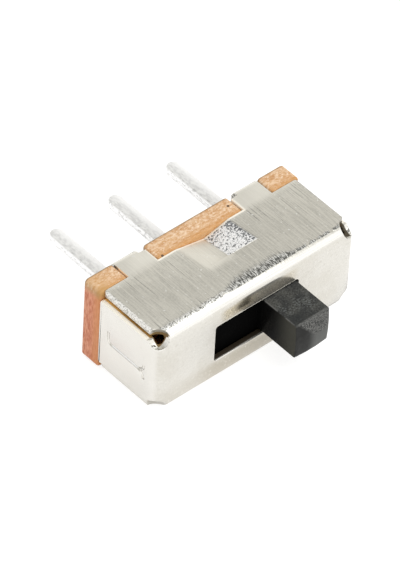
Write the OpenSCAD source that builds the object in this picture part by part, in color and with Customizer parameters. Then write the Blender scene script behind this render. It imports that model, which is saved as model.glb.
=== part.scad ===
// Miniature slide switch with three in-line pins, lying on a long side.
// X runs along the travel, the pins point to +Y, the lever points to -Y, and Z is up.
// The origin is where the middle pin leaves the back of the board. Sizes are in millimetres.

/* [Housing] */
// Length of the housing, along the travel
body_l = 8.6; // [8.2:0.05:9.6]
// Width of the housing, across the travel
body_w = 3.45; // [3.3:0.05:4.2]
// Depth from the back of the board to the front face
body_d = 3.65; // [3.5:0.05:4.4]
// Thickness of the sheet that the frame is folded from
sheet_t = 0.25; // [0.18:0.01:0.28]
// Outer radius of the folds around the front face
fold_r = 0.38; // [0.32:0.01:0.45]
// Distance from an end flap's outer face to the end of a long wall
wall_inset = 0.16; // [0.12:0.01:0.3]
// Gap between an end flap's edge and the wall above it
flap_gap = 0.08; // [0.02:0.01:0.1]
// Radius of the round relief at each front corner
relief_r = 0.43; // [0.36:0.01:0.5]
// Radius of the corners at the free edges of the walls and flaps
corner_r = 0.1; // [0.05:0.01:0.2]

/* [Tabs] */
// Distance from the end of the housing to a tab
tab_from_end = 1.2; // [0.9:0.05:1.4]
// Width of a tab where it leaves the wall
tab_w = 1.25; // [1:0.05:1.5]
// Width of the step beside a tab's folded lip
lip_step = 0.28; // [0.1:0.01:0.4]
// Length of the flat part of a folded lip
lip_l = 0.4; // [0.2:0.05:0.5]
// Inner radius of a lip's fold
lip_bend = 0.05; // [0.03:0.01:0.1]
// Height of a folded lip above the back of the board
lip_stand = 0.12; // [0.05:0.01:0.2]
// Play between a tab and its notch in the board
tab_play = 0.04; // [0.02:0.01:0.08]

/* [Dents] */
// Length of a V dent along the wall
dent_l = 2.28; // [1.8:0.02:2.8]
// Place of the middle of a V dent along the travel
dent_mid = 0.08; // [-0.2:0.02:0.2]
// Reach of a V dent from the free edge towards the front
dent_h = 1.3; // [0.8:0.05:1.5]
// Depth of a V dent
dent_d = 0.25; // [0.15:0.01:0.32]
// Place of the valley of a V dent along the travel
dent_at = 0.15; // [-0.3:0.05:0.3]
// Angle between a V dent and the fold, from the square
dent_skew = 6.5; // [0:0.5:10]

/* [End crease] */
// Length of the straight part of the crease pressed into an end flap
crease_l = 1.26; // [0.8:0.02:1.5]
// Width of the crease
crease_w = 0.1; // [0.05:0.01:0.12]
// Radius of the bend at the back end of the crease
bend_r = 0.18; // [0.12:0.01:0.25]
// Length of the upright hook that follows that bend
hook_l = 0.3; // [0.2:0.02:0.5]
// Radius of the fork at the front end of the crease
fork_r = 0.3; // [0.2:0.01:0.4]
// Distance of the crease from the board
crease_from = 0.64; // [0.5:0.02:0.9]
// Height of the crease above the middle plane
crease_z = -0.18; // [-0.4:0.02:0.4]

/* [Board] */
// Thickness of the base board
board_t = 0.8; // [0.7:0.05:1]
// Radius of the board's corners
board_r = 0.17; // [0.05:0.01:0.3]
// Radius of the corners at the mouth of a notch
mouth_r = 0.12; // [0.05:0.01:0.2]

/* [Terminals] */
// Distance between neighbouring pins
pitch = 2.54; // [2.4:0.01:2.7]
// Width of a pin, along the row
pin_w = 0.5; // [0.35:0.01:0.55]
// Thickness of the strip that the terminals are stamped from
pin_t = 0.32; // [0.25:0.01:0.4]
// Length of a pin beyond the back of the board
pin_l = 3.6; // [2.5:0.05:5]
// Play around a pin in the board
pin_play = 0.02; // [0.01:0.01:0.04]
// Width of the shoulder that sits on the front of the board
shoulder_w = 0.95; // [0.8:0.05:1.1]
// Height of the shoulder
shoulder_h = 0.3; // [0.2:0.02:0.4]
// Width of a contact blade
blade_w = 0.8; // [0.6:0.05:0.9]
// Height of a contact blade above the front of the board
blade_h = 1.25; // [1:0.05:1.4]
// Radius of the corners at a blade's end
blade_r = 0.2; // [0.1:0.01:0.3]
// Width of the ears swaged on the back of the board
ear_w = 0.64; // [0.56:0.02:0.8]
// Height of those ears
ear_h = 0.1; // [0.05:0.01:0.15]

/* [Slider] */
// Travel of the lever
travel = 2; // [1.6:0.05:2.2]
// Width of the lever along the travel
lever_w = 1.46; // [1.2:0.02:1.7]
// Height of the lever across the travel
lever_h = 1.44; // [1.2:0.02:1.7]
// Reach of the lever beyond the front face
lever_out = 1.64; // [1:0.02:4]
// Radius of the crowned end of the lever
crown_r = 6; // [4:0.5:12]
// Radius of the lever's long edges
lever_edge = 0.06; // [0.03:0.01:0.12]
// Play between the lever and the ends of the slot
end_play = 0.05; // [0.03:0.01:0.1]
// Play between the lever and the sides of the slot
side_play = 0.06; // [0.04:0.01:0.1]
// Radius of the corners of the slot
slot_r = 0.1; // [0.04:0.01:0.2]
// Play between the carriage and the inside of the frame
guide_play = 0.05; // [0.04:0.01:0.1]
// Thickness of the carriage plate under the slot
plate_t = 0.5; // [0.4:0.02:0.6]
// Overlap of the carriage plate beyond the slot
plate_lap = 0.1; // [0.05:0.01:0.15]
// Play between the carriage and the front of the board
skirt_gap = 0.12; // [0.08:0.01:0.2]
// Thickness of the end walls of the clip pocket
pocket_wall = 0.35; // [0.25:0.01:0.45]
// Space between a blade's end and the carriage
blade_gap = 0.1; // [0.05:0.01:0.12]
// Space between a blade's flat side and the carriage
blade_side = 0.1; // [0.06:0.01:0.14]
// Depth of the detent hollows in the sides of the carriage
hollow_d = 0.1; // [0.05:0.01:0.15]
// Radius of the detent hollows
hollow_r = 0.6; // [0.4:0.05:0.8]
// Play between the carriage and the V dents as it slides past
detent_play = 0.05; // [0.03:0.01:0.08]

/* [Moving contact] */
// Thickness of the sprung strip
clip_t = 0.12; // [0.08:0.01:0.15]
// Width of the clip across the travel
clip_w = 0.9; // [0.8:0.02:1]
// Reach of the clip beyond the middle of the outer blade
clip_reach = 0.46; // [0.4:0.02:0.5]
// Play between a finger and a blade
touch_play = 0.02; // [0.01:0.01:0.04]
// Opening of the fingers at their free edges
finger_open = 0.3; // [0.26:0.01:0.32]
// Width of the cut between the two pairs of fingers
finger_gap = 0.4; // [0.2:0.02:0.6]
// Diameter of the peg that holds the clip
peg_d = 0.5; // [0.4:0.02:0.54]
// Play around the peg and along the clip
clip_play = 0.03; // [0.02:0.01:0.04]
// Space between a blade's top and the clip
web_gap = 0.15; // [0.12:0.01:0.2]
// Distance from the board to where the fingers touch the blades
touch_from = 0.55; // [0.45:0.01:0.7]
// Distance from the board to the free edges of the fingers
free_from = 0.2; // [0.15:0.01:0.3]
// Distance from the clip's web to the cut between the fingers
cut_from = 0.2; // [0.1:0.01:0.3]
// Height of the peg above the clip
peg_out = 0.05; // [0.02:0.01:0.1]

/* [Hidden] */
$fn = 48;

// Half sizes and levels along Y
half_l = body_l / 2;
half_w = body_w / 2;
y_board = -board_t;
y_front = -body_d;
y_inside = y_front + sheet_t;
y_plate = y_inside + guide_play;
y_blade = y_board - blade_h;
y_web = y_blade - web_gap;
y_ceiling = y_web - clip_t;
y_skirt = y_board - skirt_gap;

// The slot follows from the lever and its travel
slot_l = lever_w + travel + 2 * end_play;
slot_h = lever_h + 2 * side_play;
slider_at = travel / 2;

// Tabs and their folded lips
tab_out = half_l - tab_from_end;
tab_in = tab_out - tab_w;
lip_in = tab_in + lip_step;
lip_r = sheet_t + lip_bend;
lip_y = lip_stand - lip_r;

// The carriage inside the frame
inner_w = half_w - sheet_t;
plate_half = min((slot_l + travel) / 2 + plate_lap, half_l - sheet_t - travel / 2 - guide_play);
clip_half = pitch - travel / 2 + clip_reach;
skirt_half = clip_half + clip_play + pocket_wall;
skirt_w = inner_w - dent_d - detent_play;
pocket_half = clip_w / 2 + clip_play;
blade_way = pin_t / 2 + blade_side;

// A flat shape in the XZ plane, given thickness from y0 up to y1
module along_y(y0, y1) {
    translate([0, y1, 0])
        rotate([90, 0, 0])
            linear_extrude(height = y1 - y0)
                children();
}

// A flat shape drawn with Y to the right and Z up, given thickness along X
module along_x(x0, x1) {
    translate([x0, 0, 0])
        rotate([90, 0, 90])
            linear_extrude(height = x1 - x0)
                children();
}

// A rectangle with round corners, made of true arcs
module round_rect(w, h, r) {
    square([w - 2 * r, h], center = true);
    square([w, h - 2 * r], center = true);
    for (x = [-1, 1], y = [-1, 1])
        translate([x * (w / 2 - r), y * (h / 2 - r)])
            circle(r);
}

// A block that starts at y0 with two round corners and runs back to y1
module round_front(y0, y1, half, r) {
    translate([y0 + r, -half])
        square([y1 - y0 - r, 2 * half]);
    translate([y0, r - half])
        square([2 * r, 2 * (half - r)]);
    for (s = [-1, 1])
        translate([y0 + r, s * (half - r)])
            circle(r);
}

// Section of the sheet folded back from the front face on two sides
module folded(half) {
    difference() {
        round_front(y_front, y_board, half, fold_r);
        round_front(y_inside, y_board + 1, half - sheet_t, fold_r - sheet_t);
    }
}

// Section of a tab's lip, folded over the back of the board
module lip_section() {
    translate([lip_y - 0.3, half_w - sheet_t])
        square([0.3, sheet_t]);
    intersection() {
        translate([lip_y, half_w - lip_r])
            difference() {
                circle(lip_r);
                circle(lip_r - sheet_t);
            }
        translate([lip_y, half_w - lip_r])
            square(lip_r);
    }
    translate([lip_stand - sheet_t, half_w - lip_r - lip_l])
        square([sheet_t, lip_l]);
}

// One tab, on the right of the upper wall
module tab() {
    translate([tab_in, y_board - 0.2, half_w - sheet_t])
        cube([tab_w, lip_y - y_board + 0.2, sheet_t]);
    along_x(lip_in, tab_out)
        lip_section();
}

// What is drawn for a V dent, turned by its skew and cut off square at both ends
module at_dent() {
    intersection() {
        translate([-half_l, y_board - dent_h, 0])
            cube([body_l, dent_h, half_w + 1]);
        translate([dent_mid, y_board - dent_h / 2, 0])
            rotate([0, 0, dent_skew])
                along_y(-dent_h, dent_h)
                    children();
    }
}

// Section of the V strip that is pressed in between two creases of the upper wall
module dent_section() {
    side = dent_l / 2;
    valley = dent_at - dent_mid;
    polygon([
        [-side, half_w],
        [valley, half_w - dent_d],
        [side, half_w],
        [side, inner_w],
        [valley, inner_w - dent_d],
        [-side, inner_w]
    ]);
}

// The window that the V strip fills
module dent_window() {
    translate([-dent_l / 2, inner_w - 0.2])
        square([dent_l, sheet_t + 0.4]);
}

// A quarter bend of the crease, from the level line up to an upright
module crease_bend(r) {
    translate([0, 0, r])
        rotate([0, 90, 0])
            rotate_extrude(angle = 90)
                translate([r, 0])
                    circle(crease_w / 2);
}

// The crease on the left end flap: a level stroke with a hook at its back end and a fork at its front end
module crease() {
    back = y_board - crease_from;
    translate([-half_l, back, crease_z]) {
        rotate([90, 0, 0])
            cylinder(h = crease_l, d = crease_w);
        crease_bend(bend_r);
        translate([0, bend_r, bend_r])
            cylinder(h = hook_l, d = crease_w);
    }
    for (z = [0, 1])
        translate([-half_l, back - crease_l, crease_z])
            mirror([0, 0, z])
                mirror([0, 1, 0])
                    crease_bend(fork_r);
}

// Round relief at the upper right front corner, with its middle in the middle of each wall
module relief() {
    translate([half_l - sheet_t / 2, y_front + sheet_t / 2, half_w - sheet_t / 2])
        sphere(relief_r);
}

// What is cut off a square corner at the origin, whose sides run left and down, to leave it round
module corner_cut(r) {
    translate([-r, -r])
        difference() {
            square(r + 0.01);
            circle(r);
        }
}

// Frame, one folded sheet
module frame() {
    color([0.80, 0.79, 0.75])
    difference() {
        union() {
            along_x(fold_r - half_l, half_l - fold_r)
                folded(half_w);
            translate([0, 0, fold_r - half_w])
                linear_extrude(height = body_w - 2 * fold_r)
                    rotate(90)
                        mirror([0, 1])
                            folded(half_l);
            for (s = [-1, 1]) {
                translate([wall_inset - half_l, y_front + fold_r, s > 0 ? inner_w : -half_w])
                    cube([body_l - 2 * wall_inset, body_d - fold_r - board_t, sheet_t]);
                translate([s > 0 ? half_l - sheet_t : -half_l, y_front + fold_r, flap_gap - inner_w])
                    cube([sheet_t, body_d - fold_r - board_t, 2 * (inner_w - flap_gap)]);
            }
            for (x = [0, 1], z = [0, 1])
                mirror([x, 0, 0])
                    mirror([0, 0, z])
                        tab();
        }
        along_y(y_front - 1, y_inside + 0.2)
            round_rect(slot_l, slot_h, slot_r);
        for (x = [0, 1], z = [0, 1])
            mirror([x, 0, 0])
                mirror([0, 0, z]) {
                    relief();
                    translate([half_l - wall_inset, y_board, inner_w - flap_gap / 2])
                        linear_extrude(height = sheet_t + flap_gap)
                            corner_cut(corner_r);
                    along_x(half_l - sheet_t - 0.01, half_l + 0.01)
                        translate([y_board, inner_w - flap_gap])
                            corner_cut(corner_r);
                }
        for (z = [0, 1])
            mirror([0, 0, z])
                at_dent()
                    dent_window();
        for (x = [0, 1])
            mirror([x, 0, 0])
                crease();
    }
    color([0.80, 0.79, 0.75])
    for (z = [0, 1])
        mirror([0, 0, z])
            at_dent()
                dent_section();
}

// Base board
module base_board() {
    notch_w = tab_w + 2 * tab_play;
    lip_room = lip_r + lip_l + tab_play;
    color([0.80, 0.52, 0.24])
    difference() {
        along_y(y_board, 0)
            round_rect(body_l, body_w, board_r);
        for (x = [0, 1], z = [0, 1])
            mirror([x, 0, 0])
                mirror([0, 0, z]) {
                    translate([tab_in - tab_play, y_board - 1, half_w - lip_r])
                        cube([notch_w, board_t + 2, 1]);
                    translate([lip_in - tab_play, lip_stand - sheet_t, half_w - lip_room])
                        cube([tab_w - lip_step + 2 * tab_play, 1, lip_room + 1]);
                    along_y(y_board - 1, 1) {
                        translate([tab_in - tab_play, half_w])
                            corner_cut(mouth_r);
                        translate([tab_out + tab_play, half_w])
                            mirror([1, 0])
                                corner_cut(mouth_r);
                    }
                }
        for (i = [-1, 0, 1])
            translate([i * pitch, 0, 0])
                along_y(y_board - 1, 1)
                    square([pin_w + 2 * pin_play, pin_t + 2 * pin_play], center = true);
    }
}

// Outline of one terminal, drawn with X to the right and Y up
module terminal_outline() {
    tip = pin_w / 2;
    translate([-tip, y_board - shoulder_h / 2])
        square([pin_w, pin_l - y_board + shoulder_h / 2 - tip]);
    translate([0, pin_l - tip])
        circle(tip);
    translate([-shoulder_w / 2, y_board - shoulder_h])
        square([shoulder_w, shoulder_h]);
    translate([-blade_w / 2, y_blade + blade_r])
        square([blade_w, blade_h - blade_r - shoulder_h / 2]);
    translate([blade_r - blade_w / 2, y_blade])
        square([blade_w - 2 * blade_r, 2 * blade_r]);
    for (s = [-1, 1])
        translate([s * (blade_w / 2 - blade_r), y_blade + blade_r])
            circle(blade_r);
    translate([-ear_w / 2, 0])
        square([ear_w, ear_h]);
}

module terminal(i) {
    color([0.86, 0.86, 0.85])
    translate([i * pitch, 0, -pin_t / 2])
        linear_extrude(height = pin_t)
            terminal_outline();
}

module terminal_left() {
    terminal(-1);
}

module terminal_common() {
    terminal(0);
}

module terminal_right() {
    terminal(1);
}

// Lever and carriage, one moulding
module slider() {
    color([0.05, 0.05, 0.05])
    translate([slider_at, 0, 0]) {
        intersection() {
            along_y(y_front - lever_out - 1, y_plate + plate_t / 2)
                round_rect(lever_w, lever_h, lever_edge);
            translate([0, y_front - lever_out + crown_r, 0])
                sphere(crown_r, $fn = 96);
        }
        difference() {
            union() {
                along_y(y_plate, y_plate + plate_t)
                    square([2 * plate_half, 2 * (inner_w - guide_play)], center = true);
                along_y(y_plate + plate_t / 2, y_skirt)
                    square([2 * skirt_half, 2 * skirt_w], center = true);
            }
            along_y(y_ceiling, 0)
                square([2 * (clip_half + clip_play), 2 * pocket_half], center = true);
            along_y(y_blade - blade_gap, 0)
                square([2 * skirt_half + 1, 2 * blade_way], center = true);
            for (x = [-1, 1], z = [-1, 1])
                translate([dent_at + x * travel / 2, 0, z * (skirt_w + hollow_r - hollow_d)])
                    along_y(y_plate + plate_t, 0)
                        circle(hollow_r);
        }
        along_y(y_ceiling - 0.1, y_web + peg_out)
            circle(d = peg_d);
    }
}

// Sprung clip that bridges two neighbouring blades
module moving_contact() {
    near = pin_t / 2 + touch_play;
    y_touch = y_board - touch_from;
    y_free = y_board - free_from;
    color([0.78, 0.58, 0.30])
    translate([slider_at, 0, 0])
    difference() {
        along_x(-clip_half, clip_half)
            polygon([
                [y_ceiling, -clip_w / 2],
                [y_touch, -near - clip_t],
                [y_free, -finger_open - clip_t],
                [y_free, -finger_open],
                [y_touch, -near],
                [y_web, clip_t - clip_w / 2],
                [y_web, clip_w / 2 - clip_t],
                [y_touch, near],
                [y_free, finger_open],
                [y_free, finger_open + clip_t],
                [y_touch, near + clip_t],
                [y_ceiling, clip_w / 2]
            ]);
        along_y(y_ceiling - 0.1, y_web + 0.1)
            circle(d = peg_d + 2 * clip_play);
        along_y(y_web + cut_from, 0)
            square([finger_gap, 2 * clip_w], center = true);
    }
}

frame();
base_board();
terminal_left();
terminal_common();
terminal_right();
slider();
moving_contact();
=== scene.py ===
# %% [markdown]
# # A miniature slide switch
#
# The switch lies on a long side, as in the photograph: the lever points to the
# front, the pins to the back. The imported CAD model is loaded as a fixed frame,
# and this lesson gives it softened edges, finishes, a plain studio and a camera.

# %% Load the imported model
import math
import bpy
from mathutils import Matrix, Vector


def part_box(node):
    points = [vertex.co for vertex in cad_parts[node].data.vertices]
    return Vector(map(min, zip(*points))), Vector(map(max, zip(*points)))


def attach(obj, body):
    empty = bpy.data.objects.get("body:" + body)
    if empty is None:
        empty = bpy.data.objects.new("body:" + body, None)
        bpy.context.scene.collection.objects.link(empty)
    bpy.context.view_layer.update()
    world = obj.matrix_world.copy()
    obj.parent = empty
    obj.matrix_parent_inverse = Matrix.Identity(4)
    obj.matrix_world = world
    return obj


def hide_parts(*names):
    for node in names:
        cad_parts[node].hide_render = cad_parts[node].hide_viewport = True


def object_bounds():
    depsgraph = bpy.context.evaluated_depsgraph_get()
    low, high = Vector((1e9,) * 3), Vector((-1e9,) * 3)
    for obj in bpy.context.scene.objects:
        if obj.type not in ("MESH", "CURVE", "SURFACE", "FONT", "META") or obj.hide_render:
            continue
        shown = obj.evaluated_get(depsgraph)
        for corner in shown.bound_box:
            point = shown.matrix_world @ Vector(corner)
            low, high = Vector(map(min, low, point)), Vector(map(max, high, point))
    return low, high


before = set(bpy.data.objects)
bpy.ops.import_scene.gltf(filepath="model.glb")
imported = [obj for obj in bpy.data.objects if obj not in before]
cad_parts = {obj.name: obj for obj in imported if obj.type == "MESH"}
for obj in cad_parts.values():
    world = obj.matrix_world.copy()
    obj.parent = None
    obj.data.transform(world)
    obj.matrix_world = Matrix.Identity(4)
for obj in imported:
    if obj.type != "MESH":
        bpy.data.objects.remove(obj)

from types import SimpleNamespace

import bpy
from mathutils import Matrix, Vector

MM = 0.001
cad_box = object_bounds()
print("CAD box in mm:", [[round(v / MM, 3) for v in corner] for corner in cad_box])

# %% [markdown]
# Stains and scratches lie at set distances from the folds and edges. Their places
# could all be typed in, but the main sizes are read from the frame, in
# millimetres, so that a mark stays on its fold when a size of the part changes.

# %% Measure the pieces
LEVER_WIDTH = 1.46
frame_low, frame_high = [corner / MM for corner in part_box("frame")]
board_low, _ = [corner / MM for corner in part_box("base_board")]
slider_low, slider_high = [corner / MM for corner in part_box("slider")]
half_length = frame_high.x
half_width = frame_high.z
front_y = frame_low.y
wall_end_y = board_low.y
lever_end_y = slider_low.y
lever_left = (slider_low.x + slider_high.x) / 2 - LEVER_WIDTH / 2
print("housing", round(2 * half_length, 2), "x", round(2 * half_width, 2), "front at", round(front_y, 2))

# %% [markdown]
# A CAD edge is perfectly sharp, but a stamped or moulded edge is slightly round
# and catches the light as a thin line. Each piece is copied, its loose triangles
# are merged, its flat faces are joined again, and a Bevel modifier rounds what is
# left. The switch is tiny and the operators have fixed tolerances, so the copy is
# worked on a thousand times larger and then brought back.

# %% Soften the edges of a copy
MERGE_WITHIN = 1e-4
FLAT_WITHIN = math.radians(0.5)
SHARP_ABOVE = math.radians(40)
SMOOTH_BELOW = math.radians(35)


def resize_mesh(factor):
    """Scales the whole mesh in edit mode about the origin."""
    bpy.ops.mesh.select_all(action="SELECT")
    bpy.ops.transform.resize(value=(factor,) * 3, center_override=(0, 0, 0))


def softened_copy(node, body, width, segments=2):
    """A copy of a CAD node with its sharp edges rounded by width, in mm."""
    bpy.ops.object.select_all(action="DESELECT")
    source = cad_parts[node]
    source.select_set(True)
    bpy.context.view_layer.objects.active = source
    bpy.ops.object.duplicate()
    piece = bpy.context.object
    piece.name = node + "_softened"
    for key in list(piece.keys()):
        del piece[key]
    bpy.ops.object.mode_set(mode="EDIT")
    resize_mesh(1 / MM)
    bpy.ops.mesh.remove_doubles(threshold=MERGE_WITHIN)
    bpy.ops.mesh.dissolve_limited(angle_limit=FLAT_WITHIN)
    bpy.ops.object.mode_set(mode="OBJECT")
    bpy.ops.object.modifier_add(type="BEVEL")
    bevel = piece.modifiers[-1]
    bevel.width = width
    bevel.segments = segments
    bevel.limit_method = "ANGLE"
    bevel.angle_limit = SHARP_ABOVE
    bevel.use_clamp_overlap = False
    bpy.ops.object.modifier_apply(modifier=bevel.name)
    bpy.ops.object.mode_set(mode="EDIT")
    resize_mesh(MM)
    bpy.ops.object.mode_set(mode="OBJECT")
    bpy.ops.object.shade_smooth_by_angle(angle=SMOOTH_BELOW)
    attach(piece, body)
    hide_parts(node)
    print(piece.name, len(piece.data.polygons), "faces")
    return piece


# %% [markdown]
# Each piece gets the rounding that its real edges have: small on the thin sheet
# and on the moulding, larger on the cut board and on the dipped pins. One width
# could serve for all, but one that suits the board would melt the thin folds.

# %% Soften the pieces
PIN_NODES = ("terminal_left", "terminal_common", "terminal_right")
sheet = softened_copy("frame", "housing", 0.03)
board = softened_copy("base_board", "housing", 0.07, segments=3)
moulding = softened_copy("slider", "lever", 0.03)
pins = [softened_copy(node, "housing", 0.05) for node in PIN_NODES]

# %% [markdown]
# Every finish is a node tree on Object coordinates, scaled to millimetres. These
# short helpers add a node, set its sockets and link it, so that each recipe below
# reads from the pattern to the shader. A mask is a value from 0 to 1.

# %% Helpers: a new finish, links and sums
def new_finish(name):
    """A new material, with its node tree, its shader and its place in mm."""
    material = bpy.data.materials.new(name)
    material.use_nodes = True
    tree = material.node_tree
    coordinates = tree.nodes.new("ShaderNodeTexCoord")
    scaled = tree.nodes.new("ShaderNodeMapping")
    scaled.inputs["Scale"].default_value = (1 / MM,) * 3
    tree.links.new(coordinates.outputs["Object"], scaled.inputs["Vector"])
    return material, tree, tree.nodes["Principled BSDF"], scaled.outputs["Vector"]


def link(tree, value, socket):
    """Puts a number, a colour or another node's output into a socket."""
    if isinstance(value, bpy.types.NodeSocket):
        tree.links.new(value, socket)
    else:
        socket.default_value = value


def calc(tree, operation, a, b=0.0):
    node = tree.nodes.new("ShaderNodeMath")
    node.operation = operation
    link(tree, a, node.inputs[0])
    link(tree, b, node.inputs[1])
    return node.outputs[0]


def all_of(tree, operation, first, others):
    """One operation, taken over any number of values in turn."""
    for other in others:
        first = calc(tree, operation, first, other)
    return first


def times(tree, first, *others):
    return all_of(tree, "MULTIPLY", first, others)


def largest(tree, first, *others):
    return all_of(tree, "MAXIMUM", first, others)


def smallest(tree, first, *others):
    return all_of(tree, "MINIMUM", first, others)


def plus(tree, a, b):
    return calc(tree, "ADD", a, b)


def minus(tree, a, b):
    return calc(tree, "SUBTRACT", a, b)


def size(tree, a):
    return calc(tree, "ABSOLUTE", a)


def opposite(tree, mask):
    return minus(tree, 1.0, mask)


def off_squared(tree, x, y, point):
    """The squared distance from a point of the plan, in square mm."""
    off_x, off_y = minus(tree, x, point[0]), minus(tree, y, point[1])
    return plus(tree, times(tree, off_x, off_x), times(tree, off_y, off_y))


print("helpers for links and sums are ready")

# %% [markdown]
# The second group reads where a point lies and which way it faces, makes patterns
# and mixes colours. A pattern could come from a picture, but a noise at the scale
# of the real grain has no seams and shows no pixels close up.

# %% Helpers: places, patterns and colours
def split(tree, vector):
    node = tree.nodes.new("ShaderNodeSeparateXYZ")
    link(tree, vector, node.inputs["Vector"])
    return node.outputs["X"], node.outputs["Y"], node.outputs["Z"]


def facing(tree):
    """How far the surface faces along X, Y and Z, each from -1 to 1."""
    return split(tree, tree.nodes.new("ShaderNodeTexCoord").outputs["Normal"])


def stretch(tree, vector, scale, turn=(0, 0, 0)):
    node = tree.nodes.new("ShaderNodeMapping")
    link(tree, vector, node.inputs["Vector"])
    node.inputs["Scale"].default_value = scale
    node.inputs["Rotation"].default_value = turn
    return node.outputs["Vector"]


def noise(tree, vector, scale=1.0, detail=2.0, roughness=0.5):
    node = tree.nodes.new("ShaderNodeTexNoise")
    link(tree, vector, node.inputs["Vector"])
    node.inputs["Scale"].default_value = scale
    node.inputs["Detail"].default_value = detail
    node.inputs["Roughness"].default_value = roughness
    return node.outputs["Fac"]


def ramp(tree, value, low, high, out_low=0.0, out_high=1.0, smooth=True):
    """Goes from out_low to out_high while the value goes from low to high."""
    node = tree.nodes.new("ShaderNodeMapRange")
    node.interpolation_type = "SMOOTHSTEP" if smooth else "LINEAR"
    link(tree, value, node.inputs["Value"])
    node.inputs["From Min"].default_value = low
    node.inputs["From Max"].default_value = high
    node.inputs["To Min"].default_value = out_low
    node.inputs["To Max"].default_value = out_high
    return node.outputs["Result"]


def band(tree, value, low, high, soft):
    """1 between low and high, fading to 0 over soft on either side."""
    rise = ramp(tree, value, low - soft, low + soft)
    fall = ramp(tree, value, high - soft, high + soft, 1.0, 0.0)
    return times(tree, rise, fall)


def mix(tree, factor, a, b):
    node = tree.nodes.new("ShaderNodeMix")
    node.data_type = "RGBA"
    link(tree, factor, node.inputs["Factor"])
    link(tree, a, node.inputs["A"])
    link(tree, b, node.inputs["B"])
    return node.outputs["Result"]


def bump(tree, height, strength, distance):
    node = tree.nodes.new("ShaderNodeBump")
    link(tree, height, node.inputs["Height"])
    link(tree, strength, node.inputs["Strength"])
    node.inputs["Distance"].default_value = distance * MM
    return node.outputs["Normal"]


WHITE = (1, 1, 1, 1)
print("helpers for places, patterns and colours are ready")

# %% [markdown]
# ## The folded sheet
#
# The frame is bright nickel on steel, folded from one sheet. The long wall kept
# the mill's fine lines, which run from the board to the front; the front and the
# end flaps are smoother. Marks could be painted on a picture, but masks by place
# need no picture and stay sharp close up. They all start from the same few
# values: where a point lies, which way it faces and how far in from an edge it is.

# %% Where a point of the sheet lies
SLOT_REACH_X, SLOT_REACH_Z = 1.9, 0.9


def sheet_places(tree, place):
    """The values that the masks of the sheet share, as node outputs."""
    at = SimpleNamespace(place=place)
    at.x, at.y, at.z = split(tree, place)
    at.to_side, _, at.up = facing(tree)
    at.on_wall = ramp(tree, size(tree, at.up), 0.80, 0.92)
    at.to_right = ramp(tree, at.x, -3.0, 3.0)
    at.from_end = minus(tree, half_length, size(tree, at.x))
    at.from_side = minus(tree, half_width, size(tree, at.z))
    at.from_front = minus(tree, at.y, front_y)
    at.near_front = ramp(tree, at.from_front, 0.62, 0.50)
    slot_x = band(tree, at.x, -SLOT_REACH_X, SLOT_REACH_X, 0.05)
    slot_z = band(tree, at.z, -SLOT_REACH_Z, SLOT_REACH_Z, 0.05)
    at.in_slot = times(tree, slot_x, slot_z)
    at.lines = noise(tree, stretch(tree, place, (24, 1.0, 0.5)), detail=1.0)
    at.strokes = noise(tree, stretch(tree, place, (26, 7.0, 1)), roughness=0.6)
    at.grains = noise(tree, place, 15.0, 3.0, 0.7)
    at.fine_grains = noise(tree, place, 17.0, 1.0)
    return at


print("slot within", SLOT_REACH_X, "and", SLOT_REACH_Z, "mm of the middle")

# %% [markdown]
# The inside is brown, and it shows in the slot, in the round reliefs at
# the front corners and in the gaps beside the end flaps. Deep inside, where
# little light reaches, the brown is painted much lighter, as painted light.
# The brown starts a skin's depth below the outside, so no face has to be
# picked by hand.

# %% The brown inside, with painted light deep inside
RELIEF_SKIN, WALL_SKIN, SLOT_SKIN = 0.13, 0.235, 0.05
RELIEF_LEFT, RELIEF_RIGHT = (0.18, 0.11, 0.035, 1), (0.055, 0.042, 0.020, 1)
GAP_FRONT, GAP_BACK = (0.50, 0.28, 0.07, 1), (1, 0.66, 0.22, 1)
GAP_RIGHT = (0.10, 0.07, 0.03, 1)
# The colour for deep inside is much lighter than the brown: painted light where little light reaches.
DEEP_INSIDE_PAINTED_LIGHT, SLOT_INSIDE = (0.92, 0.58, 0.22, 1), (0.030, 0.020, 0.009, 1)


def brown_inside_mask(tree, at):
    """1 on the brown inside of the sheet, 0 on its bright skin."""
    flap_depth = plus(tree, at.from_end, ramp(tree, at.near_front, 0.0, 1.0, 0.10, 0.0))
    depth = smallest(tree, at.from_front, flap_depth, at.from_side)
    inner_side = ramp(tree, at.from_side, 0.24, 0.26, 0.0, 0.7)
    inner_side = times(tree, inner_side, opposite(tree, at.to_right))
    beside_relief = largest(tree, opposite(tree, at.near_front), inner_side)
    skin = ramp(tree, beside_relief, 0.0, 1.0, RELIEF_SKIN, WALL_SKIN, smooth=False)
    skin = smallest(tree, skin, ramp(tree, at.in_slot, 0.0, 1.0, 1.0, SLOT_SKIN))
    brown_inside = ramp(tree, minus(tree, depth, skin), -0.015, 0.015)
    brown_inside = times(tree, brown_inside, ramp(tree, at.y, wall_end_y + 0.04, wall_end_y))
    faces_out = ramp(tree, times(tree, at.up, at.z), 0.5, 1.0)
    in_dent = times(tree, faces_out, ramp(tree, size(tree, at.x), 3.6, 3.4))
    low_relief = times(tree, at.near_front, ramp(tree, at.z, -0.95, -1.15))
    return times(tree, brown_inside, opposite(tree, largest(tree, in_dent, low_relief)))


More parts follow.
